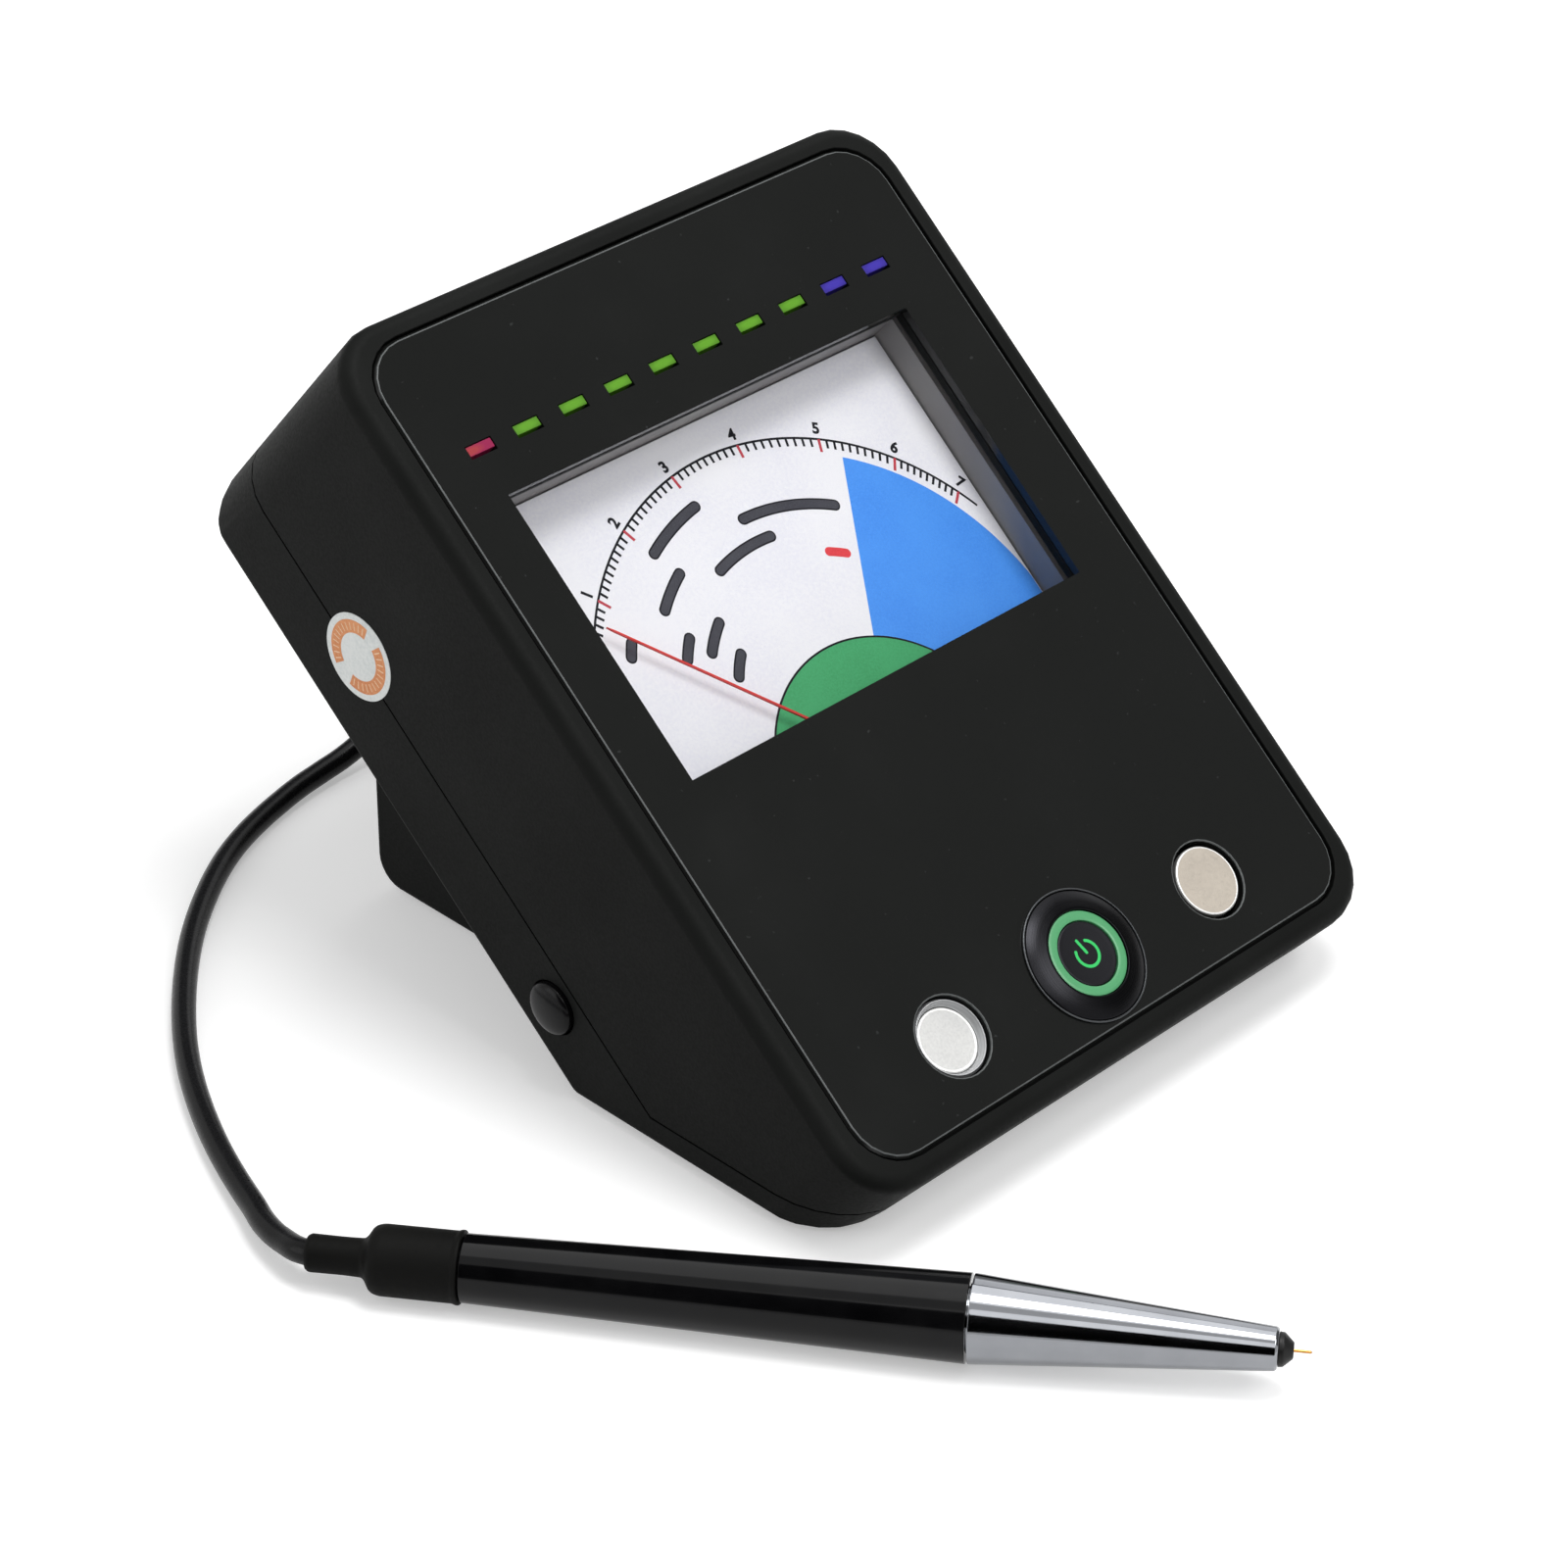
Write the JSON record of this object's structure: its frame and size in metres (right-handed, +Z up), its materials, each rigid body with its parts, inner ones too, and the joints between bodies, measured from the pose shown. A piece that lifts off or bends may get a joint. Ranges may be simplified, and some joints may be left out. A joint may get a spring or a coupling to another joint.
{
  "type": "diamond tester",
  "caption": "Bench gem tester: tilted console with analogue meter, lamp row, push switch and reference discs, on a leg with a cell bay, and a probe pen on a cord.",
  "frame": {"origin": "on the surface that the tester stands on, under the middle of its box without the cord", "axes": "+Z up, +X towards the console's right, -Y the way that its tilted panel faces"},
  "size_m": [0.1808, 0.2258, 0.1125],
  "materials": {
    "housing": "fine-textured black ABS",
    "panel": "glossy black acrylic sheet",
    "lens": "clear",
    "meter_case": "moulded grey",
    "dial": "printed white",
    "needle": "red lacquer",
    "winding": "enamelled copper wire",
    "soft_iron": "plain",
    "brass": "stamped",
    "circuit_board": "green solder mask",
    "red_lamp": "tinted diffuse lens",
    "green_lamp": "tinted diffuse lens",
    "blue_lamp": "tinted diffuse lens",
    "switch_metal": "black anodised",
    "switch_light": "lit green diffuser",
    "steel": "zinc-plated",
    "insulation": "moulded black",
    "diamond_disc": "finely ground",
    "simulant_disc": "turned face",
    "simulant_cup": "turned",
    "knob": "polished black",
    "sprung_contact": "nickel-plated",
    "cell": "printed foil jacket",
    "foot_rubber": "matt",
    "sleeve_rubber": "matt",
    "cord_jacket": "satin PVC",
    "barrel": "polished black",
    "chrome_nose": "polished",
    "copper_tip": "polished copper"
  },
  "bodies": {
    "console": {"front_shell": "housing", "back_shell": "housing", "front_panel": "panel", "meter_lens": "lens", "meter_case": "meter_case", "dial_plate": "dial", "movement_yoke": "soft_iron", "movement_core": "soft_iron", "pivot_bridge": "brass", "led_board": "circuit_board", "led_red": "red_lamp", "led_green_1": "green_lamp", "led_green_2": "green_lamp", "led_green_3": "green_lamp", "led_green_4": "green_lamp", "led_green_5": "green_lamp", "led_green_6": "green_lamp", "led_green_7": "green_lamp", "led_blue_1": "blue_lamp", "led_blue_2": "blue_lamp", "power_bezel": "switch_metal", "power_ring": "switch_light", "power_nut": "steel", "switch_block": "insulation", "diamond_disc": "diamond_disc", "simulant_disc": "simulant_disc", "simulant_cup": "simulant_cup", "cal_pot": "sprung_contact", "main_board": "circuit_board", "buzzer": "insulation", "battery_1": "cell", "battery_2": "cell", "battery_3": "cell", "battery_4": "cell", "contact_front_left": "sprung_contact", "contact_front_middle": "sprung_contact", "contact_front_right": "sprung_contact", "contact_rear_left": "sprung_contact", "contact_rear_right": "sprung_contact", "housing_screw_1": "steel", "housing_screw_2": "steel", "housing_screw_3": "steel", "housing_screw_4": "steel", "foot_1": "foot_rubber", "foot_2": "foot_rubber", "foot_3": "foot_rubber", "foot_4": "foot_rubber", "cord_grommet": "sleeve_rubber", "probe_cord": "cord_jacket", "probe_sleeve": "sleeve_rubber", "probe_barrel": "barrel", "probe_nose": "chrome_nose", "probe_insulator": "insulation"},
    "switch_cap": {"power_actuator": "switch_metal"},
    "calibration": {"cal_knob": "knob"},
    "pointer": {"needle": "needle", "moving_coil": "winding"},
    "tip": {"probe_tip": "copper_tip"},
    "door": {"battery_door": "housing"}
  },
  "joints": [
    {"name": "power_button_press", "type": "slide", "parent": "console", "child": "switch_cap", "axis": [0, 0.6428, -0.766], "range_m": [0, 0.002], "stiffness_N_per_m": 400, "springref_m": -0.002},
    {"name": "cal_knob_turn", "type": "hinge", "parent": "console", "child": "calibration", "pos_m": [-0.02964, 0.0257, 0.01577], "axis": [-1, 0, 0], "range_deg": [-140, 140]},
    {"name": "needle_swing", "type": "hinge", "parent": "console", "child": "pointer", "pos_m": [0.02916, 0.00457, 0.04359], "axis": [0, -0.6428, 0.766], "range_deg": [-91.3, 8.9], "stiffness_Nm_per_rad": 0.0002},
    {"name": "probe_tip_press", "type": "slide", "parent": "console", "child": "tip", "axis": [-0.5764, 0.8171, -0.0146], "range_m": [0, 0.0015], "stiffness_N_per_m": 300, "springref_m": -0.001},
    {"name": "battery_door_slide", "type": "slide", "parent": "console", "child": "door", "axis": [0, 1, 0], "range_m": [0, 0.008]}
  ]
}
